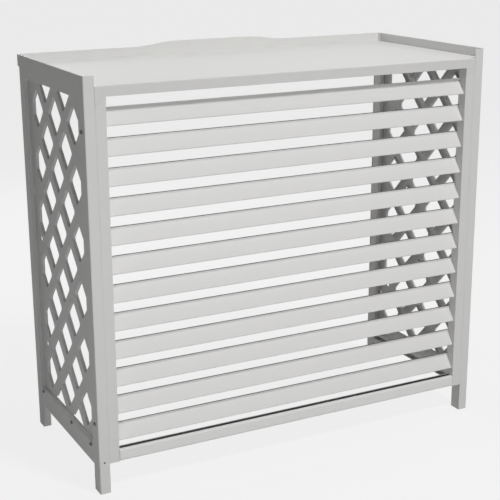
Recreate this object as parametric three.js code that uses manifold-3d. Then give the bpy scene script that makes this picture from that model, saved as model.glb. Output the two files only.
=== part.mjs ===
// Screen that stands round the outdoor unit of an air conditioner, folded from thin coated sheet.
// It has a louvred front, two sides with a diamond lattice, a shallow top and an open back and bottom.
// Millimetres: X runs to the right along the front, Y to the back and Z up.
// The origin is on the floor, in the middle of the footprint.

import * as THREE from "three";
import { mergeVertices } from "three/addons/utils/BufferGeometryUtils.js";
import Module from "manifold-3d";

// Overall sizes
const width = 1000; // over the outer faces of the two sides
const sideDepth = 436; // from the front face to the back of the rear posts
const sideHeight = 921; // upper edge of the sides
const upstand = 21; // how far the sides rise above the top
const legHeight = 60; // length of leg that shows below the sides

// Folded sheet
const sheet = 1.5; // thickness
const foldRadius = 2.5; // outer radius of a fold
const tightRadius = 1.8; // outer radius of a fold in a stile or a side rail
const gap = 0.3; // between pieces that seat on each other
const overrun = 5; // how far a cutting block passes the piece that it cuts

// Corner posts, closed box sections inside the folds of the side sheets
const frontPostWidth = 24; // from the outer face of the side to the inner face of the post
const rearPostWidth = 20;
const postDepth = 33; // from the front face, or from the back, to the face that looks inwards
const plugLength = 16; // of the plug in the foot of each post

// Side sheets. The folds at the front and the back of a side wrap round its posts.
const sideLip = 16.5; // width of the lip folded in along the lower edge
const pressDepth = 7.6; // how far the middle of the side is pressed in
const pressSlope = 2.5; // width of the sloping wall round the pressed middle
const pressCorner = 6; // corner radius
const pressFront = 37; // from the front face to the pressed middle
const pressBack = 35; // from the back of the posts to the pressed middle
const pressTop = 49; // from the upper edge of the side to the pressed middle
const pressBottom = 48.5; // from the lower edge of the side to the pressed middle

// Lattice in the pressed middle. The edges of the openings are turned in.
const openingWidth = 90;
const openingHeight = 92.6;
const openingCorner = 7; // how far the corners at the front and back are rounded
const openingTip = 11; // how far the upper and lower corners are rounded
const openingReach = 7; // how far the edges are turned in
const cornerSteps = 2; // facets in a corner at the front or back of an opening
const tipSteps = 3; // facets in an upper or lower corner
const cutFront = 21; // from the front of the pressed middle to the cut of the first column
const cutBack = 34; // from the back of the pressed middle to the cut of the last column
const cutTop = 3.2; // from the upper end of the pressed middle to the cut of the last row
const cutBottom = 6; // from the lower end of the pressed middle to the cut of the first row
const columnCount = 5;
const firstColumn = 53.4; // middle of the first column behind the front of the pressed middle
const lastColumn = 63; // middle of the last column before the back of the pressed middle
const rowCount = 13; // with the cut row at each end
const firstRow = 1; // middle of the lowest row below the pressed middle
const lastRow = 0.1; // middle of the highest row below the upper end of the pressed middle

// Slots and round holes in the pressed middle
const slotWidth = 6;
const slotLength = 20;
const slotBack = 11; // from the back of the pressed middle to the line of slots
const slotShares = [0.118, 0.303, 0.483, 0.655]; // of the pressed height, from its lower end
const roundHole = 12; // diameter
const roundHoleBack = 44; // from the back of the pressed middle to the line of round holes
const roundHoleShares = [0.167, 0.511]; // of the pressed height, from its lower end

// Lower side rails, behind the side sheets
const sideRailRise = 16.5; // from the lower edge of the side to the rail
const sideRailHeight = 30;
const sideRailWidth = 20;
const railScrewDrop = 4.5; // from the upper face of the rail to the line of its screws

// Louvred front
const stileWidth = 24;
const stileDepth = 28;
const railBottom = 70;
const railHeight = 28;
const railDepth = 20;
const railLip = 7; // turned back along the upper edge, in front of the open channel
const railFoldRadius = 4;
const bladeCount = 12;
const firstBladeRise = 19; // from the bottom rail up to the lower edge of the lowest blade
const lastBladeDrop = 85; // from the top down to the lower edge of the highest blade
const bladeSheet = 1.2;
const bladeSetback = 4; // lower edge of a blade behind the front face
const bladeRun = 20.2; // depth of the sloping face
const bladeRise = 31; // height of the sloping face
const bladeLip = 6; // upright lip along the upper edge
const bladeHem = 5; // hem turned back under the lower edge
const bladeFoldRadius = 1.8;
const tabLength = 5; // how far an end tab passes into its stile
const tabMargin = 6; // sloping face left on each side of a tab, measured in height

// Top tray
const skirtHeight = 23; // front edge above the louvres
const earHeight = 39; // at the two ends of the front edge
const trayFlange = 20; // turned down along the sides
const trayBackFlange = 8; // turned down along the back

// Rear crest
const crestReach = 12; // how far the crest passes behind the posts
const crestHeight = 26; // at the two ends
const crownHeight = 10; // rise of the crown in the middle
const crownFlat = 180; // width of the level stretch on top of the crown
const crownWidth = 430; // width of the crown at its foot

// Screws. The frame screws pass through the front posts into the louvre stiles,
// and the rail screws hold the side sheets to the lower side rails.
const screwHead = 9; // diameter of the domed head
const screwHeadHeight = 3;
const screwShank = 4.8; // diameter
const screwSides = 10;
const frameScrewLine = 18; // distance behind the front face
const lowFrameScrew = 93; // above the lower end of the stile
const highFrameScrew = 94; // below the top
const frameScrewTail = 5; // how far a frame screw passes beyond the stile's wall
const railScrewShares = [0.045, 0.395, 0.955]; // of the depth between the posts, from the front
const railScrewLength = 12; // under the head

// Coats
const coatColour = 0xcfcfcb;
const coatRoughness = 0.45;
const coatMetalness = 0;
const plugColour = 0x2b2b2c;
const plugRoughness = 0.6;
const screwColour = 0x3a3a3c;
const screwRoughness = 0.4;
const screwMetalness = 1;

const curveSteps = 4; // facets in a quarter turn
const crownSteps = 10; // facets in each flank of the crown

const depth = sideDepth + crestReach;
const wasm = await Module();
wasm.setup();

// Turns a closed geometry into a solid that can be cut and joined.
function solidOf(geometry) {
  const bare = geometry.clone();
  bare.deleteAttribute("normal");
  bare.deleteAttribute("uv");
  const merged = mergeVertices(bare);
  const vertProperties = merged.getAttribute("position").array;
  const triVerts = new Uint32Array(merged.index.array);
  return new wasm.Manifold(new wasm.Mesh({ numProp: 3, vertProperties, triVerts }));
}

// Turns a solid back into a geometry.
function geometryOf(solid) {
  const { vertProperties, triVerts } = solid.getMesh();
  const geometry = new THREE.BufferGeometry();
  geometry.setAttribute("position", new THREE.BufferAttribute(vertProperties, 3));
  geometry.setIndex(new THREE.BufferAttribute(triVerts, 1));
  return geometry;
}

function extrude(shape, length) {
  return new THREE.ExtrudeGeometry(shape, {
    depth: length,
    bevelEnabled: false,
    curveSegments: curveSteps,
  });
}

// A section drawn in X and Y, run up from one height to another.
function runUp(shape, from, to) {
  return extrude(shape, to - from).translate(0, 0, from);
}

// A section drawn in Y and Z, run along X.
const acrossTurn = new THREE.Matrix4().makeBasis(
  new THREE.Vector3(0, 1, 0),
  new THREE.Vector3(0, 0, 1),
  new THREE.Vector3(1, 0, 0),
);
function runAcross(shape, from, to) {
  return extrude(shape, to - from).applyMatrix4(acrossTurn).translate(from, 0, 0);
}

// A section drawn in X and Z, run along Y.
function runBack(shape, from, to) {
  const turn = new THREE.Matrix4().makeBasis(
    new THREE.Vector3(1, 0, 0),
    new THREE.Vector3(0, 0, 1),
    new THREE.Vector3(0, -1, 0),
  );
  return extrude(shape, to - from).applyMatrix4(turn).translate(0, to, 0);
}

function polygon(points) {
  return new THREE.Shape(points.map(([x, y]) => new THREE.Vector2(x, y)));
}

function rectangle(left, low, right, high) {
  return polygon([[left, low], [right, low], [right, high], [left, high]]);
}

// A rectangle with round corners, as a path that can be an outline or a hole.
function roundedRectangle(Kind, left, low, right, high, radius) {
  const path = new Kind();
  const quarter = Math.PI / 2;
  path.moveTo(left + radius, low);
  path.lineTo(right - radius, low);
  path.absarc(right - radius, low + radius, radius, -quarter, 0);
  path.lineTo(right, high - radius);
  path.absarc(right - radius, high - radius, radius, 0, quarter);
  path.lineTo(left + radius, high);
  path.absarc(left + radius, high - radius, radius, quarter, 2 * quarter);
  path.lineTo(left, low + radius);
  path.absarc(left + radius, low + radius, radius, 2 * quarter, 3 * quarter);
  return path;
}

// A closed box section of folded sheet.
function boxSection(left, low, right, high, radius = foldRadius) {
  const shape = roundedRectangle(THREE.Shape, left, low, right, high, radius);
  const inner = [left + sheet, low + sheet, right - sheet, high - sheet];
  shape.holes.push(roundedRectangle(THREE.Path, ...inner, radius - sheet));
  return shape;
}

// The section of a folded strip. Its outer face follows the corners, each fold has the given radius,
// and the thickness lies to the left of the way the corners run.
function foldedStrip(corners, thickness, radius) {
  const points = corners.map(([x, y]) => new THREE.Vector2(x, y));
  const face = [points[0]];
  for (let i = 1; i < points.length - 1; i++) {
    const before = points[i - 1].clone().sub(points[i]).normalize();
    const after = points[i + 1].clone().sub(points[i]).normalize();
    const halfAngle = Math.acos(THREE.MathUtils.clamp(before.dot(after), -1, 1)) / 2;
    const back = radius / Math.tan(halfAngle);
    const start = points[i].clone().addScaledVector(before, back);
    const end = points[i].clone().addScaledVector(after, back);
    const middle = before.clone().add(after).normalize();
    const centre = points[i].clone().addScaledVector(middle, radius / Math.sin(halfAngle));
    const from = start.clone().sub(centre);
    const turn = from.clone().cross(end.clone().sub(centre)) > 0 ? 1 : -1;
    const sweep = turn * (Math.PI - 2 * halfAngle);
    for (let step = 0; step <= curveSteps; step++) {
      face.push(start.clone().rotateAround(centre, (sweep * step) / curveSteps));
    }
  }
  face.push(points[points.length - 1]);
  const inner = face.map((point, i) => {
    const along = face[Math.min(i + 1, face.length - 1)].clone().sub(face[Math.max(i - 1, 0)]);
    const normal = new THREE.Vector2(-along.y, along.x).normalize();
    const next = face[Math.min(i + 1, face.length - 1)];
    const segment = i < face.length - 1 ? next.clone().sub(point) : point.clone().sub(face[i - 1]);
    const square = new THREE.Vector2(-segment.y, segment.x).normalize();
    return point.clone().addScaledVector(normal, thickness / normal.dot(square));
  });
  return new THREE.Shape([...face, ...inner.reverse()]);
}

function finish(colour, roughness, metalness) {
  return new THREE.MeshStandardMaterial({ color: colour, roughness, metalness });
}

function piece(name, geometry, material = finish(coatColour, coatRoughness, coatMetalness)) {
  const mesh = new THREE.Mesh(geometry, material);
  mesh.name = name;
  return mesh;
}

// Side group: X runs in from the outer face of the side, Y back from the front face and Z up.
const topHeight = sideHeight - upstand; // upper face of the top tray
const trayUnderside = topHeight - sheet;
const postTop = trayUnderside - gap;
const postOuter = sheet + gap; // outer faces of the posts, inside the folds of the side sheet
const rearPostFront = sideDepth - postDepth;
const sideFront = postDepth + gap; // the stretch between the posts
const sideBack = rearPostFront - gap;
const sideRailBottom = legHeight + sideRailRise;
const railScrewHeight = sideRailBottom + sideRailHeight - railScrewDrop;
const railScrewLines = railScrewShares.map((share) => sideFront + share * (sideBack - sideFront));
const frameScrewHeights = [railBottom + lowFrameScrew, topHeight - highFrameScrew];

// A round bar along X, used for the screws' holes.
function crossHole(line, height, from, to) {
  const radius = screwShank / 2 + gap;
  const circle = new THREE.Shape().absarc(line, height, radius, 0, 2 * Math.PI);
  return solidOf(runAcross(circle, from, to));
}

// A domed screw whose head seats on the outer face of the side.
function screw(line, height, length) {
  const head = screwHead / 2;
  const rim = screwHeadHeight / 3;
  const shank = screwShank / 2;
  const dome = new THREE.EllipseCurve(0, rim, head, screwHeadHeight - rim, 0, Math.PI / 2);
  const profile = [
    new THREE.Vector2(0, -length),
    new THREE.Vector2(shank, -length),
    new THREE.Vector2(shank, 0),
    new THREE.Vector2(head, 0),
    ...dome.getPoints(curveSteps).slice(0, -1),
    new THREE.Vector2(0, screwHeadHeight),
  ];
  const geometry = new THREE.LatheGeometry(profile, screwSides);
  return geometry.rotateZ(Math.PI / 2).translate(-gap, line, height);
}

// The posts are closed boxes that stand in the corners of the folded side sheet.
function frontPost() {
  const box = runUp(boxSection(postOuter, postOuter, frontPostWidth, postDepth), 0, postTop);
  const holes = frameScrewHeights.map((height) => {
    return crossHole(frameScrewLine, height, 0, frontPostWidth + overrun);
  });
  return geometryOf(holes.reduce((solid, hole) => solid.subtract(hole), solidOf(box)));
}

function rearPost() {
  const section = boxSection(postOuter, rearPostFront, rearPostWidth, sideDepth - postOuter);
  return runUp(section, 0, postTop);
}

// The plug fills the foot of a post and ends level with it.
function footPlug(left, front, right, back) {
  const inset = sheet + gap;
  const inner = [left + inset, front + inset, right - inset, back - inset];
  return runUp(roundedRectangle(THREE.Shape, ...inner, foldRadius - sheet), 0, plugLength);
}

function frontFootPlug() {
  return footPlug(postOuter, postOuter, frontPostWidth, postDepth);
}

function rearFootPlug() {
  return footPlug(postOuter, rearPostFront, rearPostWidth, sideDepth - postOuter);
}

// Limits of the pressed middle, and a height given as a share of it.
const pressEnd = sideDepth - pressBack;
const pressLow = legHeight + pressBottom;
const pressHigh = sideHeight - pressTop;
const pressHeight = (share) => pressLow + share * (pressHigh - pressLow);
const pressFloor = pressDepth + sheet;

// The pressed middle as a block between two depths, narrower the deeper it goes.
function pressBlock(from, to, grow) {
  const ring = (at) => {
    const inset = (at * pressSlope) / pressDepth - grow;
    const edges = [pressFront + inset, pressLow + inset, pressEnd - inset, pressHigh - inset];
    const outline = roundedRectangle(THREE.Shape, ...edges, pressCorner);
    return outline.getPoints(curveSteps).map((point) => [at, point.x, point.y]);
  };
  return wasm.Manifold.hull([...ring(from), ...ring(to)]);
}

// An opening with its corners cut back along both edges, by one length at the front and back,
// and by another at the top and bottom.
function diamond(column, row, grow, corner, tip) {
  const halfWidth = openingWidth / 2;
  const halfHeight = openingHeight / 2;
  const scale = 1 + (grow * Math.hypot(halfWidth, halfHeight)) / (halfWidth * halfHeight);
  const tips = [
    [column - scale * halfWidth, row],
    [column, row - scale * halfHeight],
    [column + scale * halfWidth, row],
    [column, row + scale * halfHeight],
  ].map(([y, z]) => new THREE.Vector2(y, z));
  if (corner === 0) {
    return new THREE.Shape(tips);
  }
  const points = tips.flatMap((point, i) => {
    const [back, steps] = i % 2 === 0 ? [corner, cornerSteps] : [tip, tipSteps];
    const before = tips[(i + 3) % 4].clone().sub(point).setLength(back).add(point);
    const after = tips[(i + 1) % 4].clone().sub(point).setLength(back).add(point);
    return new THREE.QuadraticBezierCurve(before, point, after).getPoints(steps);
  });
  return new THREE.Shape(points);
}

// Places of the openings: rows of diamonds, each row half a step from the next.
function latticePlaces() {
  const first = pressFront + firstColumn;
  const columnPitch = (pressEnd - lastColumn - first) / (columnCount - 1);
  const low = pressLow - firstRow;
  const rowPitch = (pressHigh - lastRow - low) / (rowCount - 1);
  const places = [];
  for (let row = 0; row < rowCount; row++) {
    for (let column = 0; column < columnCount; column++) {
      if ((row + column) % 2 === 1) {
        places.push([first + column * columnPitch, low + row * rowPitch]);
      }
    }
  }
  return places;
}

// All openings as one cutter between two depths, cut straight at the edges of the lattice.
// Grown by the thickness of the sheet, it is the body of their turned-in edges.
function latticeBlock(from, to, grow, corner, tip) {
  const blocks = latticePlaces().map(([column, row]) => {
    return solidOf(runAcross(diamond(column, row, grow, corner, tip), from, to));
  });
  const field = rectangle(
    pressFront + cutFront - grow,
    pressLow + cutBottom,
    pressEnd - cutBack + grow,
    pressHigh - cutTop,
  );
  return wasm.Manifold.union(blocks).intersect(solidOf(runAcross(field, from, to)));
}

function slot(middle) {
  const line = pressEnd - slotBack;
  const half = slotWidth / 2;
  const low = middle - slotLength / 2;
  const high = middle + slotLength / 2;
  return roundedRectangle(THREE.Shape, line - half, low, line + half, high, half);
}

// The side is one sheet, folded round the posts down to the feet and along the lower edge,
// with its middle pressed in.
function sideSheet() {
  const plan = foldedStrip(
    [[frontPostWidth, 0], [0, 0], [0, sideDepth], [rearPostWidth, sideDepth]],
    -sheet,
    foldRadius,
  );
  const edge = foldedStrip(
    [[sideLip, legHeight], [0, legHeight], [0, legHeight + 2 * foldRadius]],
    -sheet,
    foldRadius,
  );
  const edgeRoom = rectangle(-overrun, -overrun, sheet + overrun, legHeight + foldRadius);
  const rearRoom = rectangle(sheet, sideDepth - postOuter, rearPostWidth + overrun, sideDepth + overrun);
  const wall = sheet * Math.hypot(1, pressSlope / pressDepth);
  const reach = pressDepth + openingReach;
  let solid = solidOf(runUp(plan, 0, sideHeight))
    .subtract(solidOf(runUp(rearRoom, postTop, sideHeight + overrun)))
    .subtract(solidOf(runBack(edgeRoom, sideFront, sideBack)))
    .add(solidOf(runBack(edge, sideFront, sideBack)))
    .add(pressBlock(sheet / 2, pressFloor, wall))
    .subtract(pressBlock(-overrun, pressDepth, 0))
    .add(latticeBlock(pressDepth + sheet / 2, reach, sheet, 0, 0))
    .subtract(latticeBlock(0, reach + overrun, 0, openingCorner, openingTip));
  slotShares.forEach((share) => {
    solid = solid.subtract(solidOf(runAcross(slot(pressHeight(share)), 0, reach)));
  });
  roundHoleShares.forEach((share) => {
    const hole = new THREE.Shape();
    hole.absarc(pressEnd - roundHoleBack, pressHeight(share), roundHole / 2, 0, 2 * Math.PI);
    solid = solid.subtract(solidOf(runAcross(hole, 0, reach)));
  });
  railScrewLines.forEach((line) => {
    solid = solid.subtract(crossHole(line, railScrewHeight, -overrun, postOuter));
  });
  frameScrewHeights.forEach((height) => {
    solid = solid.subtract(crossHole(frameScrewLine, height, -overrun, postOuter));
  });
  return geometryOf(solid);
}

// The side rail is an angle behind the lower edge of the side, between the posts.
function sideRail() {
  const left = postOuter;
  const high = sideRailBottom + sideRailHeight;
  const section = foldedStrip(
    [[left + sideRailWidth, sideRailBottom], [left, sideRailBottom], [left, high]],
    -sheet,
    tightRadius,
  );
  let solid = solidOf(runBack(section, sideFront, sideBack));
  railScrewLines.forEach((line) => {
    solid = solid.subtract(crossHole(line, railScrewHeight, -overrun, left + sideRailWidth / 2));
  });
  return geometryOf(solid);
}

// The sloping face of a blade, from its lower edge up, as a function of the height above that edge.
function bladeFace(height) {
  return bladeSetback + (bladeRun * height) / bladeRise;
}

function bladeSection() {
  const low = [bladeFace(0), 0];
  const high = [bladeFace(bladeRise), bladeRise];
  const lip = [bladeFace(bladeRise), bladeRise + bladeLip];
  const hem = [bladeFace(0) + bladeHem, 0];
  return foldedStrip([lip, high, low, hem], bladeSheet, bladeFoldRadius);
}

// An end tab: a strip of the sloping face, grown by the clearance where it is the slot for the tab.
function tabSection(clearance) {
  const low = tabMargin - clearance;
  const high = bladeRise - tabMargin + clearance;
  const corners = [[bladeFace(high) - clearance, high], [bladeFace(low) - clearance, low]];
  const slope = Math.hypot(bladeRun, bladeRise) / bladeRise;
  const thickness = bladeSheet * slope + 2 * clearance;
  return polygon([
    ...corners,
    [corners[1][0] + thickness, low],
    [corners[0][0] + thickness, high],
  ]);
}

const stileOuter = frontPostWidth + gap;
const stileInner = stileOuter + stileWidth;
const firstBlade = railBottom + railHeight + firstBladeRise;
const bladePitch = (topHeight - lastBladeDrop - firstBlade) / (bladeCount - 1);
const bladeHeights = Array.from({ length: bladeCount }, (_, i) => firstBlade + i * bladePitch);

// A stile stands beside its post. Its top end is set back behind the ear of the tray.
function stile() {
  const section = boxSection(stileOuter, 0, stileInner, stileDepth, tightRadius);
  const box = runUp(section, railBottom, postTop);
  const earRoom = rectangle(stileOuter - overrun, -overrun, stileInner + overrun, sheet + gap);
  const earBottom = topHeight - earHeight - gap;
  let solid = solidOf(box).subtract(solidOf(runUp(earRoom, earBottom, sideHeight)));
  bladeHeights.forEach((height) => {
    const opening = runAcross(tabSection(gap), stileInner - sheet - gap, stileInner + overrun);
    solid = solid.subtract(solidOf(opening.translate(0, 0, height)));
  });
  frameScrewHeights.forEach((height) => {
    const hole = crossHole(frameScrewLine, height, 0, stileOuter + stileWidth / 2);
    solid = solid.subtract(hole);
  });
  return geometryOf(solid);
}

// The bottom rail is a channel, open upwards behind the narrow lip along its front.
function bottomRail() {
  const half = width / 2 - stileInner - gap;
  const high = railBottom + railHeight;
  const section = foldedStrip(
    [[railLip, high], [0, high], [0, railBottom], [railDepth, railBottom], [railDepth, high]],
    sheet,
    railFoldRadius,
  );
  return runAcross(section, -half, half);
}

function blade() {
  const half = width / 2 - stileInner - gap;
  const body = runAcross(bladeSection(), -half, half);
  const tabs = runAcross(tabSection(0), -half - tabLength, half + tabLength);
  return geometryOf(solidOf(body).add(solidOf(tabs)));
}

// The tray lies between the sides, turned down at the front, at the sides and at the back.
function topTray() {
  const edge = width / 2 - sheet - gap;
  const shoulder = width / 2 - frontPostWidth - gap;
  const back = depth - sheet - gap;
  const flat = polygon([
    [-shoulder, foldRadius],
    [shoulder, foldRadius],
    [shoulder, sheet + gap],
    [edge, sheet + gap],
    [edge, sideFront],
    [edge - foldRadius, sideFront],
    [edge - foldRadius, sideBack],
    [edge, sideBack],
    [edge, sideDepth],
    [edge, back - foldRadius],
    [-edge, back - foldRadius],
    [-edge, sideBack],
    [foldRadius - edge, sideBack],
    [foldRadius - edge, sideFront],
    [-edge, sideFront],
    [-edge, sheet + gap],
    [-shoulder, sheet + gap],
  ]);
  const channel = foldedStrip(
    [
      [-edge, topHeight - trayFlange],
      [-edge, topHeight],
      [edge, topHeight],
      [edge, topHeight - trayFlange],
    ],
    -sheet,
    foldRadius,
  );
  const inward = 2 * foldRadius;
  const frontFold = foldedStrip(
    [[0, topHeight - earHeight], [0, topHeight], [inward, topHeight]],
    -sheet,
    foldRadius,
  );
  const backFold = foldedStrip(
    [[back - inward, topHeight], [back, topHeight], [back, topHeight - trayBackFlange]],
    -sheet,
    foldRadius,
  );
  const clear = width / 2 - stileInner;
  const skirtBottom = topHeight - skirtHeight;
  const front = rectangle(-clear, topHeight - earHeight - overrun, clear, skirtBottom);
  const solid = solidOf(runUp(flat, trayUnderside, topHeight))
    .add(solidOf(runBack(channel, sideFront, sideBack)))
    .add(solidOf(runAcross(frontFold, -shoulder, shoulder)))
    .add(solidOf(runAcross(backFold, -edge, edge)))
    .subtract(solidOf(runBack(front, -overrun, sheet + overrun)));
  return geometryOf(solid);
}

// The crest wraps the back edge of the tray and rises to a low crown.
function rearCrest() {
  const half = width / 2;
  const front = sideDepth + gap;
  const plan = foldedStrip(
    [[half, front], [half, depth], [-half, depth], [-half, front]],
    sheet,
    foldRadius,
  );
  const low = sideHeight - crestHeight;
  const crest = sideHeight + crownHeight;
  const foot = crownWidth / 2;
  const flat = crownFlat / 2;
  const knee = (foot + flat) / 2;
  const outline = new THREE.Shape();
  outline.moveTo(-half - overrun, low - overrun);
  outline.lineTo(half + overrun, low - overrun);
  outline.lineTo(half + overrun, sideHeight);
  outline.lineTo(foot, sideHeight);
  outline.bezierCurveTo(knee, sideHeight, knee, crest, flat, crest);
  outline.lineTo(-flat, crest);
  outline.bezierCurveTo(-knee, crest, -knee, sideHeight, -foot, sideHeight);
  outline.lineTo(-half - overrun, sideHeight);
  const face = new THREE.ExtrudeGeometry(outline, {
    depth: crestReach + 2 * overrun,
    bevelEnabled: false,
    curveSegments: crownSteps,
  });
  face.rotateX(Math.PI / 2).translate(0, depth + overrun, 0);
  return geometryOf(solidOf(runUp(plan, low, crest)).intersect(solidOf(face)));
}

// The parts of one side, drawn once and mirrored for the other.
function side(hand) {
  const group = new THREE.Group();
  const sign = hand === "left" ? 1 : -1;
  group.position.x = (-sign * width) / 2;
  group.scale.x = sign;
  const plug = () => finish(plugColour, plugRoughness, coatMetalness);
  group.add(
    piece(`${hand}_front_post`, frontPost()),
    piece(`${hand}_rear_post`, rearPost()),
    piece(`${hand}_lattice_side`, sideSheet()),
    piece(`${hand}_lower_side_rail`, sideRail()),
    piece(`${hand}_louvre_stile`, stile()),
    piece(`${hand}_front_foot_plug`, frontFootPlug(), plug()),
    piece(`${hand}_rear_foot_plug`, rearFootPlug(), plug()),
  );
  const steel = () => finish(screwColour, screwRoughness, screwMetalness);
  const frameScrewLength = stileOuter + sheet + frameScrewTail;
  frameScrewHeights.forEach((height, i) => {
    const geometry = screw(frameScrewLine, height, frameScrewLength);
    group.add(piece(`${hand}_frame_screw_${i + 1}`, geometry, steel()));
  });
  railScrewLines.forEach((line, i) => {
    const geometry = screw(line, railScrewHeight, railScrewLength);
    group.add(piece(`${hand}_rail_screw_${i + 1}`, geometry, steel()));
  });
  return group;
}

const screen = new THREE.Group();
const body = new THREE.Group();
body.position.y = -depth / 2;
screen.add(body);
body.add(side("left"), side("right"));
body.add(piece("bottom_rail", bottomRail()));
const bladeGeometry = blade();
bladeHeights.forEach((height, i) => {
  const mesh = piece(`louvre_blade_${String(i + 1).padStart(2, "0")}`, bladeGeometry);
  mesh.position.z = height;
  body.add(mesh);
});
body.add(piece("top_tray", topTray()));
body.add(piece("rear_crest", rearCrest()));

export default screen;
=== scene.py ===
import math
import bpy
from mathutils import Matrix, Vector


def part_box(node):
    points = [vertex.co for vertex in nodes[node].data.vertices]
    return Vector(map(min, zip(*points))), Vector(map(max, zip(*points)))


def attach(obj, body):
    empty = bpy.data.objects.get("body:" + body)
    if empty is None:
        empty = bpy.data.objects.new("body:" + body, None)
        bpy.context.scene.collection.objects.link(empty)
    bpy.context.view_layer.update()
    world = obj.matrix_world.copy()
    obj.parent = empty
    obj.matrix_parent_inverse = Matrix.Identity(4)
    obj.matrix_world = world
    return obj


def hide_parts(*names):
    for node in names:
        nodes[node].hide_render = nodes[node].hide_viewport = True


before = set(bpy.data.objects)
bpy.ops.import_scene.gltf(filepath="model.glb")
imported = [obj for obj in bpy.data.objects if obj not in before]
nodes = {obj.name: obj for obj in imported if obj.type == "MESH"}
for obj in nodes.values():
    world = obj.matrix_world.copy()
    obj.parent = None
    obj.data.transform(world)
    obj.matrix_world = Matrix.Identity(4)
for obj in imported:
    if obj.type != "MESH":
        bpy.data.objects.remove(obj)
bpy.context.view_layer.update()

# The view is a three-quarter view from the front left, a little over the top of the screen.
# The lens is long, so the uprights lean in only slightly towards their feet.
camera_place = Vector((-1.2713, -2.4333, 1.2283))
camera_heading = math.radians(27.397)  # to the right of straight back
camera_dip = math.radians(16.088)  # below level
camera_roll = math.radians(0.303)
lens_share = 2.32675  # focal length as a share of the picture's width
film_width = 36.0

camera_data = bpy.data.cameras.new("camera")
camera_data.sensor_width = film_width
camera_data.sensor_fit = "HORIZONTAL"
camera_data.lens = lens_share * film_width
camera = bpy.data.objects.new("camera", camera_data)
bpy.context.scene.collection.objects.link(camera)
camera.matrix_world = (
    Matrix.Translation(camera_place)
    @ Matrix.Rotation(-camera_heading, 4, "Z")
    @ Matrix.Rotation(math.pi / 2 - camera_dip, 4, "X")
    @ Matrix.Rotation(-camera_roll, 4, "Z")
)
bpy.context.scene.camera = camera
bpy.context.scene.view_settings.view_transform = "Standard"

# The floor and the room around it are plain and pale. The camera sees them in one even tone with
# a faint shadow, and the screen is lit by the quieter tone that a studio floor gives back.
ground_size = 60.0
ground_drop = 0.0003
white = (1, 1, 1)
backdrop_tone = 0.903
shadow_share = 0.1  # how much of the floor's tone the lamps give, and a shadow takes away
shadow_albedo = 0.8
bounce_albedo = 0.45
room_light = 0.01


# A socket in a finish. Values can be added, multiplied and compared, which makes the Math nodes.
class Value:
    def __init__(self, finish, socket):
        self.finish = finish
        self.socket = socket

    def sum(self, operation, first, second):
        return self.finish.node("ShaderNodeMath", {"operation": operation}, {0: first, 1: second})

    def __add__(self, other):
        return self.sum("ADD", self, other)

    def __radd__(self, other):
        return self.sum("ADD", other, self)

    def __sub__(self, other):
        return self.sum("SUBTRACT", self, other)

    def __rsub__(self, other):
        return self.sum("SUBTRACT", other, self)

    def __mul__(self, other):
        return self.sum("MULTIPLY", self, other)

    def __rmul__(self, other):
        return self.sum("MULTIPLY", other, self)

    def __gt__(self, other):
        return self.sum("GREATER_THAN", self, other)

    def __lt__(self, other):
        return self.sum("LESS_THAN", self, other)


# The node tree of one finish, where every node comes from one method.
class Finish:
    def __init__(self, tree):
        self.tree = tree
        tree.nodes.clear()

    def node(self, kind, settings=None, inputs=None, output=0):
        made = self.tree.nodes.new(kind)
        for name, setting in (settings or {}).items():
            setattr(made, name, setting)
        for name, value in (inputs or {}).items():
            if isinstance(value, Value):
                self.tree.links.new(value.socket, made.inputs[name])
            else:
                made.inputs[name].default_value = value
        return Value(self, made.outputs[output] if made.outputs else None)


def new_finish(name):
    material = bpy.data.materials.new(name)
    material.use_nodes = True
    return material, Finish(material.node_tree)


def tinted(tone, factor):
    return tuple(part * factor for part in tone) + (1,)


def seen_directly(paint):
    kinds = ("Is Camera Ray", "Is Glossy Ray", "Is Transmission Ray")
    straight, glossy, through = (paint.node("ShaderNodeLightPath", output=kind) for kind in kinds)
    return straight + glossy + through


half_ground = ground_size / 2
ground_mesh = bpy.data.meshes.new("floor")
ground_mesh.from_pydata(
    [(x * half_ground, y * half_ground, -ground_drop) for x, y in ((-1, -1), (1, -1), (1, 1), (-1, 1))],
    [],
    [(0, 1, 2, 3)],
)
ground = bpy.data.objects.new("floor", ground_mesh)
bpy.context.scene.collection.objects.link(ground)
ground_material, paint = new_finish("pale_floor")
even_tone = (backdrop_tone - shadow_share * shadow_albedo) / (1 - shadow_share)
bounce = paint.node("ShaderNodeBsdfDiffuse", inputs={"Color": tinted(white, bounce_albedo)})
catcher = paint.node("ShaderNodeBsdfDiffuse", inputs={"Color": tinted(white, shadow_albedo)})
even = paint.node("ShaderNodeEmission", inputs={"Color": tinted(white, even_tone)})
shown = paint.node("ShaderNodeMixShader", inputs={0: 1 - shadow_share, 1: catcher, 2: even})
floor_skin = paint.node("ShaderNodeMixShader", inputs={0: seen_directly(paint), 1: bounce, 2: shown})
paint.node("ShaderNodeOutputMaterial", inputs={"Surface": floor_skin})
ground_mesh.materials.append(ground_material)

world = bpy.data.worlds.new("room")
bpy.context.scene.world = world
world.use_nodes = True
air = Finish(world.node_tree)
far_wall = seen_directly(air) * (backdrop_tone - room_light) + room_light
room = air.node("ShaderNodeBackground", inputs={"Color": tinted(white, 1), "Strength": far_wall})
air.node("ShaderNodeOutputWorld", inputs={"Surface": room})


# The main lamp stands high in front, so the top and the blades are bright, and each blade throws
# a crisp shade on the next one. Weaker lamps low in front, at both sides, above and behind lift
# the faces that it doesn't reach.
def lamp(name, place, aim, size, watts):
    data = bpy.data.lights.new(name, "AREA")
    data.shape = "SQUARE"
    data.size = size
    data.energy = watts
    made = bpy.data.objects.new(name, data)
    bpy.context.scene.collection.objects.link(made)
    made.visible_camera = False
    made.location = place
    made.rotation_euler = (Vector(place) - Vector(aim)).to_track_quat("Z", "Y").to_euler()


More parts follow.
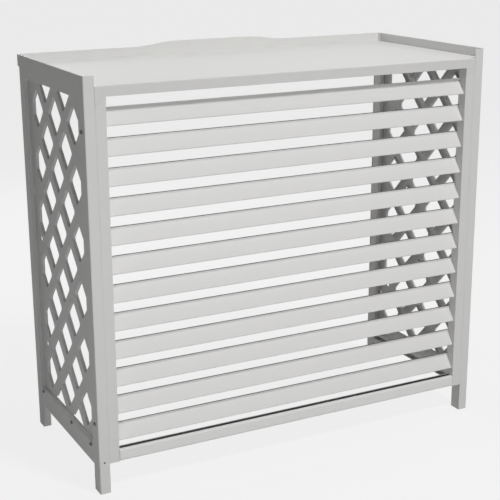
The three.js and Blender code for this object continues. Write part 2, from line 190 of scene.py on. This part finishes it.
lamp("main_lamp", place=(0.8, -2.9, 4.7), aim=(0.2, 0, 0.5), size=0.7, watts=150)
lamp("front_left_lamp", place=(-1.1, -3.0, 0.35), aim=(0, 0, 0.3), size=0.6, watts=7)
lamp("front_right_lamp", place=(0.7, -2.3, 0.32), aim=(0.2, 0, 0.1), size=0.6, watts=7.5)
lamp("side_lamp", place=(-1.4, -1.45, 0.35), aim=(-0.5, -0.12, 0.35), size=0.6, watts=3.8)
lamp("ceiling_lamp", place=(-0.2, 0.0, 2.6), aim=(0.4, 0, 0.9), size=0.35, watts=9)
lamp("right_lamp", place=(3.2, 0.6, 1.8), aim=(0.5, 0, 0.5), size=1.2, watts=20)
lamp("back_lamp", place=(-0.4, 2.6, 1.6), aim=(0.3, 0, 0.6), size=1.2, watts=28)

# The lattice sides are one punched and pressed steel sheet each, folded round the corner posts,
# with the light warm grey powder coat of all the sheet parts. Shade is painted darker into the coat's
# colour on the turned-in edges of the openings, on the inside, and on the rear slope of the pressed
# middle.
coat_tone = (0.69, 0.687, 0.676)
coat_roughness = 0.5
coat_shine = 0.25  # specular level
coat_mottle = 0.018  # how far the tone goes up and down
cloud_size, peel_size, speck_size = 0.11, 0.0014, 0.0004
cloud_detail, peel_detail, speck_detail = 3.0, 1.0, 0.0
cloud_share, peel_share, speck_share = 0.5, 0.2, 0.3  # of the mottle
cloud_dulling, peel_dulling = 0.08, 0.06  # how far each changes the roughness
peel_height = 0.000028
wave_detail = 1.0
edge_round = 0.0009
edge_samples = 6
painted_shade_share = 0.2  # how light the colour is where shade is painted in

side_waves, side_wave_height = (0.3, 0.22, 0.3), 0.0004
side_round = 0.002
# Painted shade on the inside and turned-in walls, and on the rear slope of the pressed middle.
painted_side_shade_share = 0.2
painted_side_shade_depth = 0.0082  # from the outer face to just behind the face of the pressed middle
painted_side_shade_front_margin, painted_side_shade_back_margin = 0.034, 0.032  # no painted shade before and behind it
painted_slope_shade_share = 0.28
slope_depth = 0.0004  # from the outer face to just behind it
slope_width = 0.0058
slope_margin = 0.047  # no painted shade below and above it
side_low, side_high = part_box("right_lattice_side")
painted_side_shade_line = side_high.x - painted_side_shade_depth
painted_side_shade_front = side_low.y + painted_side_shade_front_margin
painted_side_shade_back = side_high.y - painted_side_shade_back_margin
slope_line = side_high.x - slope_depth
slope_front = painted_side_shade_back - slope_width
slope_low, slope_high = side_low.z + slope_margin, side_high.z - slope_margin


def noise(paint, place, size, detail):
    return paint.node("ShaderNodeTexNoise", inputs={"Vector": place, "Scale": 1 / size, "Detail": detail})


def blend(paint, share, first, second):
    inputs = {"Factor": share, "A": first, "B": second}
    return paint.node("ShaderNodeMix", {"data_type": "RGBA"}, inputs, "Result")


def relief(paint, height, under=None):
    inputs = {"Height": height, "Distance": 1.0, "Strength": 1.0}
    if under:
        inputs["Normal"] = under
    return paint.node("ShaderNodeBump", inputs=inputs)


def cover(paint, inputs):
    skin = paint.node("ShaderNodeBsdfPrincipled", inputs=inputs)
    paint.node("ShaderNodeOutputMaterial", inputs={"Surface": skin})


# The brightness factor makes lighter or darker copies of the one coat, as painted light and shade; the
# optional mask marks where shade is painted darker into the colour.
def coated(name, wave_size, wave_height=0.0003, painted_brightness=1.0, soften=edge_round, painted_shade=None):
    material, paint = new_finish(name)
    place = paint.node("ShaderNodeTexCoord", output="Object")
    cloud = noise(paint, place, cloud_size, cloud_detail)
    peel = noise(paint, place, peel_size, peel_detail)
    speck = noise(paint, place, speck_size, speck_detail)
    stretched = paint.node("ShaderNodeVectorMath", {"operation": "DIVIDE"}, {0: place, 1: wave_size})
    wave = noise(paint, stretched, 1.0, wave_detail)
    mottle = cloud * cloud_share + peel * peel_share + speck * speck_share
    dark = tinted(coat_tone, painted_brightness * (1 - coat_mottle))
    light = tinted(coat_tone, painted_brightness * (1 + coat_mottle))
    colour = blend(paint, mottle, dark, light)
    if painted_shade:
        colour = blend(paint, painted_shade(paint, place), colour, tinted(coat_tone, painted_shade_share))
    least_rough = coat_roughness - (cloud_dulling + peel_dulling) / 2
    round_edge = paint.node("ShaderNodeBevel", {"samples": edge_samples}, {"Radius": soften})
    cover(
        paint,
        {
            "Base Color": colour,
            "Roughness": cloud * cloud_dulling + peel * peel_dulling + least_rough,
            "Specular IOR Level": coat_shine,
            "Normal": relief(paint, wave * wave_height + peel * peel_height, round_edge),
        },
    )
    return material


def dress(name, material):
    piece = nodes[name]
    piece.data.materials.clear()
    piece.data.materials.append(material)


def along(paint, place, axis):
    return paint.node("ShaderNodeSeparateXYZ", inputs={0: place}, output=axis)


# Painted shade: the mask that darkens the side's colour on the turned-in walls, the inside and the rear
# slope.
def painted_side_shade(paint, place):
    reach = paint.node("ShaderNodeMath", {"operation": "ABSOLUTE"}, {0: along(paint, place, "X")})
    deep = along(paint, place, "Y")
    up = along(paint, place, "Z")
    before_back = deep < painted_side_shade_back
    behind = (reach < painted_side_shade_line) * (deep > painted_side_shade_front) * before_back * painted_side_shade_share
    rear = (deep > slope_front) * before_back * (up > slope_low) * (up < slope_high)
    slope = (reach > painted_side_shade_line) * (reach < slope_line) * rear * painted_slope_shade_share
    return behind + slope


side_coat = coated("side_coat", side_waves, side_wave_height, soften=side_round, painted_shade=painted_side_shade)
for hand in ("left", "right"):
    dress(f"{hand}_lattice_side", side_coat)

# The corner posts are closed boxes of the same sheet inside the corners of the sides.
# Only their inner faces and the ends of the legs are in sight.
post_waves = (0.05, 0.05, 0.4)
post_coat = coated("post_coat", post_waves)
for hand in ("left", "right"):
    for end in ("front", "rear"):
        dress(f"{hand}_{end}_post", post_coat)

# A moulded black plastic plug closes the foot of each post, and the screen stands on them.
# The plastic is matt, with the fine spark grain of its mould.
plug_tone = (0.03, 0.03, 0.031)
plug_roughness = 0.5
scuff_size, scuff_detail = 1 / 90, 4.0
scuff_shade = 1.8
scuff_dulling = 0.2
grain_size, grain_detail = 0.0006, 2.0
grain_height = 0.00004

plug_plastic, paint = new_finish("plug_plastic")
place = paint.node("ShaderNodeTexCoord", output="Object")
grain = noise(paint, place, grain_size, grain_detail)
scuff = noise(paint, place, scuff_size, scuff_detail)
cover(
    paint,
    {
        "Base Color": blend(paint, scuff, tinted(plug_tone, 1), tinted(plug_tone, scuff_shade)),
        "Roughness": scuff * scuff_dulling + plug_roughness,
        "Normal": relief(paint, grain * grain_height),
    },
)
for hand in ("left", "right"):
    for end in ("front", "rear"):
        dress(f"{hand}_{end}_foot_plug", plug_plastic)

# The lower side rails are angles folded from the same sheet. They lie between the posts, behind
# the lower edges of the sides, and take the side screws.
side_rail_waves = (0.05, 0.3, 0.05)
side_rail_coat = coated("side_rail_coat", side_rail_waves)
for hand in ("left", "right"):
    dress(f"{hand}_lower_side_rail", side_rail_coat)

# The louvre stiles are channels folded from the same sheet. They stand beside the front posts,
# each with a slot for the tab of every blade.
stile_waves = (0.05, 0.05, 0.5)
stile_coat = coated("stile_coat", stile_waves)
for hand in ("left", "right"):
    dress(f"{hand}_louvre_stile", stile_coat)

# The hairlines between each side's front fold, its stile and the tray's ear are filled before the
# parts are coated. Each filler is a thin strip, a little hollow where it crosses a folded corner.
# Beside the left ear the hairline is left open, and it ends in a small open notch under the ear.
seam_edge = 0.476  # from the middle of the front to the cut edge of the side's front fold
seam_reach = 0.0019  # from there over the rounded corner of the stile
seam_depth = 0.0014
seam_lap = 0.00004  # how far a filler lies over the sheets beside it
seam_start = 0.0003  # above the foot of the stile
seam_columns, seam_rows = 6, 24
left_hollow, right_hollow = 0.0003, 0.00008
left_notch = 0.0045
stile_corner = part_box("left_louvre_stile")[0]
front_plane, seam_low = stile_corner.y, stile_corner.z + seam_start
ear_low, ear_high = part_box("top_tray")[0].z, 0.8975
ear_side, ear_inner = 0.4757, 0.45175
ear_gap = 0.0003
ear_rows = 4
crisp_edge = math.radians(35)  # edges that turn more than this stay sharp


def new_piece(name, points, faces, material, slot):
    mesh = bpy.data.meshes.new(name)
    mesh.from_pydata(points, [], faces)
    mesh.validate()
    mesh.polygons.foreach_set("use_smooth", [True] * len(mesh.polygons))
    mesh.set_sharp_from_angle(angle=crisp_edge)
    mesh.materials.append(material)
    piece = bpy.data.objects.new(name, mesh)
    bpy.context.scene.collection.objects.link(piece)
    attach(piece, "root")
    return piece


# A strip between two reaches from the middle and two heights, on the left (-1) or right (1).
def seam_strip(side, outer, inner, low, high, front, hollow, rows):
    outline = []
    for i in range(seam_columns + 1):
        share = i / seam_columns
        outline.append((outer + (inner - outer) * share, front + hollow * 4 * share * (1 - share)))
    outline += [(inner, front + hollow + seam_lap), (outer, front_plane + seam_depth)]
    around = len(outline)
    points, faces = [], []
    for row in range(rows + 1):
        z = low + (high - low) * row / rows
        points += [(side * x, y, z) for x, y in outline]
    for row in range(rows):
        for i in range(around):
            a, b = row * around + i, row * around + (i + 1) % around
            faces.append((a, b, b + around, a + around)[::side])
    faces.append(tuple(range(around))[::-side])
    faces.append(tuple(range(rows * around, (rows + 1) * around))[::side])
    return points, faces


seam_inner = seam_edge - seam_reach
beside_outer, beside_inner = seam_edge + seam_lap, ear_side - seam_lap
over_front, into_front = front_plane + seam_lap, front_plane - seam_lap / 2
under_ear = ear_low - ear_gap - seam_lap
for hand, side, hollow, notch in (("left", -1, left_hollow, left_notch), ("right", 1, right_hollow, 0.0)):
    seam_high = ear_low - notch
    strip = seam_strip(side, seam_edge, seam_inner, seam_low, seam_high, over_front, hollow, seam_rows)
    new_piece(f"{hand}_seam_filler", *strip, stile_coat, "coated_sheet")
    strip = seam_strip(side, ear_side, ear_inner, under_ear, ear_low + seam_lap, into_front, 0.0, 1)
    new_piece(f"{hand}_ear_filler", *strip, stile_coat, "coated_sheet")
strip = seam_strip(1, beside_outer, beside_inner, ear_low, ear_high, into_front, 0.0, ear_rows)
new_piece("right_ear_side_filler", *strip, stile_coat, "coated_sheet")

# The bottom rail is a folded channel, open upwards behind its narrow lip. The shade inside the
# channel is painted into its colour, so its inside stays dark.
rail_waves = (0.4, 0.05, 0.05)
# Painted light: the rail's coat is made lighter than the other sheet parts.
rail_painted_brightness = 1.14
rail_round = 0.0012
rail_low, rail_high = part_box("bottom_rail")
rail_fold = 0.004  # outer radius of its folds
rail_sheet = 0.0015
middle_radius = rail_fold - rail_sheet / 2  # from the middle of a fold to the middle of the sheet


# Painted shade: the mask of the channel's inside, where the rail's colour is darkened.
def painted_channel_shade(paint, place):
    def past(value):
        return paint.node("ShaderNodeMath", {"operation": "MAXIMUM"}, {0: value, 1: 0.0})

    deep = along(paint, place, "Y")
    up = along(paint, place, "Z")
    front, rear = past(rail_low.y + rail_fold - deep), past(deep - (rail_high.y - rail_fold))
    below, above = past(rail_low.z + rail_fold - up), past(up - (rail_high.z - rail_fold))
    within_front = front * front + below * below + above * above < middle_radius**2
    within_rear = rear * rear + below * below < middle_radius**2
    return within_front * within_rear


rail_coat = coated("bottom_rail_coat", rail_waves, painted_brightness=rail_painted_brightness, soften=rail_round, painted_shade=painted_channel_shade)
dress("bottom_rail", rail_coat)

# Twelve louvre blades are folded from thinner sheet, each with an upright lip and a hem, and each
# waves a little along its length. A thin line of shade is painted dark on the rim of the lip,
# which shows as a thin line under each gap but the highest.
blade_count = 12
blade_waves, blade_wave_height = (0.35, 0.03, 0.06), 0.0002
# Painted light: the blades' coat is made a little lighter than the other sheet parts.
blade_painted_brightness = 1.05
blade_round = 0.0004
rim_height = 0.0014
blade_low = [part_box(f"louvre_blade_{number:02d}")[0].z for number in range(1, blade_count + 1)]
blade_pitch = blade_low[1] - blade_low[0]
blade_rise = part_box("louvre_blade_01")[1].z - blade_low[0]


# Painted shade: the mask of the dark line on the rim of each blade's lip.
def painted_rim_shade(paint, place):
    up = along(paint, place, "Z")
    steps = (up - blade_low[0]) * (1 / blade_pitch)
    over = paint.node("ShaderNodeMath", {"operation": "FRACT"}, {0: steps}) * blade_pitch
    return (over > blade_rise - rim_height) * (up < blade_low[-1])


blade_coat = coated("blade_coat", blade_waves, blade_wave_height, blade_painted_brightness, blade_round, painted_rim_shade)
for number in range(1, blade_count + 1):
    dress(f"louvre_blade_{number:02d}", blade_coat)

# The top is a shallow tray folded from one sheet, turned down all round, with an ear at each end
# of its front skirt. It lies between the sides, and its broad face waves most.
tray_waves, tray_wave_height = (0.35, 0.25, 0.2), 0.0007
# Painted shade: the tray's coat is made a little darker than the other sheet parts.
tray_painted_brightness = 0.97
dress("top_tray", coated("tray_coat", tray_waves, tray_wave_height, tray_painted_brightness))

# The crest is a strip of the same sheet with a low crown. It wraps the back edge of the tray
# and closes the top at the rear.
crest_waves = (0.4, 0.1, 0.1)
# Painted light: the crest's coat is made much lighter than the other sheet parts, so it shows as bright
# as the tray.
crest_painted_brightness = 1.22
dress("rear_crest", coated("crest_coat", crest_waves, painted_brightness=crest_painted_brightness))

# One small blind rivet sits low on the left front fold, where the post stands behind the sheet.
# Only its dark domed head is in sight.
rivet_across, rivet_up = -0.4878, 0.074
rivet_radius = 0.0022
rivet_height = 0.0009
rivet_sides, rivet_rings = 24, 6


# The faces of rings of points, from the one point in their middle out to the last ring.
def ring_faces(ring_count, sides):
    faces = [(0, 1 + i, 1 + (i + 1) % sides) for i in range(sides)]
    for ring in range(ring_count - 1):
        for i in range(sides):
            a = 1 + ring * sides + i
            b = 1 + ring * sides + (i + 1) % sides
            faces.append((a, a + sides, b + sides, b))
    return faces


points = [(rivet_across, front_plane - rivet_height, rivet_up)]
for ring in range(1, rivet_rings + 1):
    lean = math.pi / 2 * ring / rivet_rings
    reach = rivet_radius * math.sin(lean)
    out = front_plane - rivet_height * math.cos(lean)
    for i in range(rivet_sides):
        angle = 2 * math.pi * i / rivet_sides
        points.append((rivet_across + reach * math.cos(angle), out, rivet_up + reach * math.sin(angle)))
last_ring = range(len(points) - rivet_sides, len(points))
faces = ring_faces(rivet_rings, rivet_sides) + [tuple(reversed(last_ring))]
new_piece("left_post_rivet", points, faces, plug_plastic, "plug_plastic")

# The screws are steel with a dark zinc finish: a pan head with a flange and a cross recess, on a
# rolled thread. Four go through the front posts into the stiles, and three hold each side to its
# lower rail.
head_radius, head_height = 0.0045, 0.003
crown_radius, crown_drop = 0.0036, 0.0004
crown_rings = 16
shoulder_out, shoulder_down = 0.00025, 0.0008  # the rounded edge of the crown
neck_out, neck_up = 0.0004, 0.0003  # where the crown meets the flange
flange_height = 0.0008
flange_bevel = 0.0001
recess_depth, recess_reach, recess_half = 0.0016, 0.0025, 0.00052
recess_slope = 0.0003
thread_radius, thread_core = 0.0024, 0.0019
thread_pitch = 0.0016
thread_steps = 6  # rings in one turn of the thread
point_length, point_share = 0.003, 0.25  # the last stretch narrows to this share of the thread
screw_sides = 48
first_turn, turn_step = 0.4, 1.1  # how far each recess is turned, in radians
zinc_tone = (0.085, 0.085, 0.09)
zinc_dark, zinc_light = 0.8, 1.5
zinc_roughness, zinc_dulling = 0.28, 0.2
blotch_size, blotch_detail = 1 / 600, 3.0
grit_size, grit_detail = 0.00025, 1.0
grit_height = 0.000006

screw_steel, paint = new_finish("screw_steel")
place = paint.node("ShaderNodeTexCoord", output="Object")
blotch = noise(paint, place, blotch_size, blotch_detail)
grit = noise(paint, place, grit_size, grit_detail)
cover(
    paint,
    {
        "Base Color": blend(paint, blotch, tinted(zinc_tone, zinc_dark), tinted(zinc_tone, zinc_light)),
        "Metallic": 1.0,
        "Roughness": blotch * zinc_dulling + zinc_roughness,
        "Normal": relief(paint, grit * grit_height),
    },
)


def smooth_step(value):
    value = min(max(value, 0.0), 1.0)
    return value * value * (3 - 2 * value)


# Depth of the cross recess at a place on the crown, measured along its two arms.
def recess(u, v):
    arms = []
    for across, out in ((u, v), (v, u)):
        flank = smooth_step((recess_half + recess_slope - abs(across)) / recess_slope)
        arms.append(flank * smooth_step((recess_reach - abs(out)) / recess_slope))
    return recess_depth * max(arms)


# Rings from the crown to the tip: radius, height over the underside of the head, and part.
def screw_rings(length):
    rings = []
    for i in range(1, crown_rings + 1):
        share = i / crown_rings
        rings.append((crown_radius * share, head_height - crown_drop * share**2, "crown"))
    rings += [
        (crown_radius + shoulder_out, head_height - shoulder_down, "flange"),
        (crown_radius + neck_out, flange_height + neck_up, "flange"),
        (head_radius - flange_bevel, flange_height, "flange"),
        (head_radius, flange_height / 2, "flange"),
        (head_radius - flange_bevel, 0.0, "flange"),
        (thread_radius, 0.0, "flange"),
    ]
    steps = round(length / thread_pitch * thread_steps)
    for i in range(1, steps + 1):
        rings.append((thread_radius, -length * i / steps, "thread"))
    return rings


def screw(name, turn):
    low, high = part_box(name)
    middle = (low + high) / 2
    side = -1 if middle.x < 0 else 1
    underside = (low.x if side < 0 else high.x) - side * head_height
    length = (high.x - low.x) - head_height
    rings = screw_rings(length)
    points = [(0.0, 0.0, head_height - recess(0, 0))]
    for radius, height, part in rings:
        for i in range(screw_sides):
            angle = 2 * math.pi * i / screw_sides
            r, h = radius, height
            if part == "crown":
                h -= recess(r * math.cos(angle + turn), r * math.sin(angle + turn))
            if part == "thread":
                phase = (height / thread_pitch + i / screw_sides) % 1
                r = thread_core + (thread_radius - thread_core) * abs(2 * phase - 1)
                r *= min(1.0, point_share + (1 - point_share) * (length + height) / point_length)
            points.append((r * math.cos(angle), r * math.sin(angle), h))
    tip = len(points)
    last = tip - screw_sides
    points.append((0.0, 0.0, -length))
    faces = ring_faces(len(rings), screw_sides)
    faces += [(last + i, tip, last + (i + 1) % screw_sides) for i in range(screw_sides)]
    placed = [(underside + side * h, middle.y + side * a, middle.z + b) for a, b, h in points]
    piece = new_piece(f"{name}_detailed", placed, faces, screw_steel, "screw_steel")
    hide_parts(name)


for number, name in enumerate(sorted(name for name in nodes if "_screw_" in name)):
    dress(name, screw_steel)
    screw(name, first_turn + turn_step * number)
